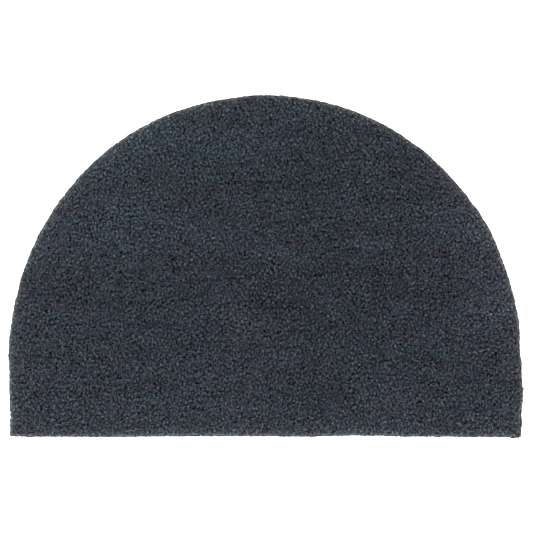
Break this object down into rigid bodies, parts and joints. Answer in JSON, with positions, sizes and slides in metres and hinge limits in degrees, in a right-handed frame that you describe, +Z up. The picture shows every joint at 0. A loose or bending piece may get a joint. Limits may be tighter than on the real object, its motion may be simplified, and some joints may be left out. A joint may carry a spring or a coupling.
{
  "type": "half-round coir doormat",
  "caption": "Half-round doormat of dark dyed coir pile fused into a thin vinyl base, lying flat, with a straight front edge and a semicircular back edge.",
  "frame": {"origin": "on the surface the mat lies on, under the middle of its box", "axes": "+X along the straight edge, +Y from the straight edge to the round edge, +Z up out of the pile"},
  "size_m": [0.6042, 0.4014, 0.0173],
  "materials": {
    "coir": "matte dyed bristle pile"
  },
  "bodies": {
    "root": {"coir_mat": "coir"}
  },
  "joints": []
}
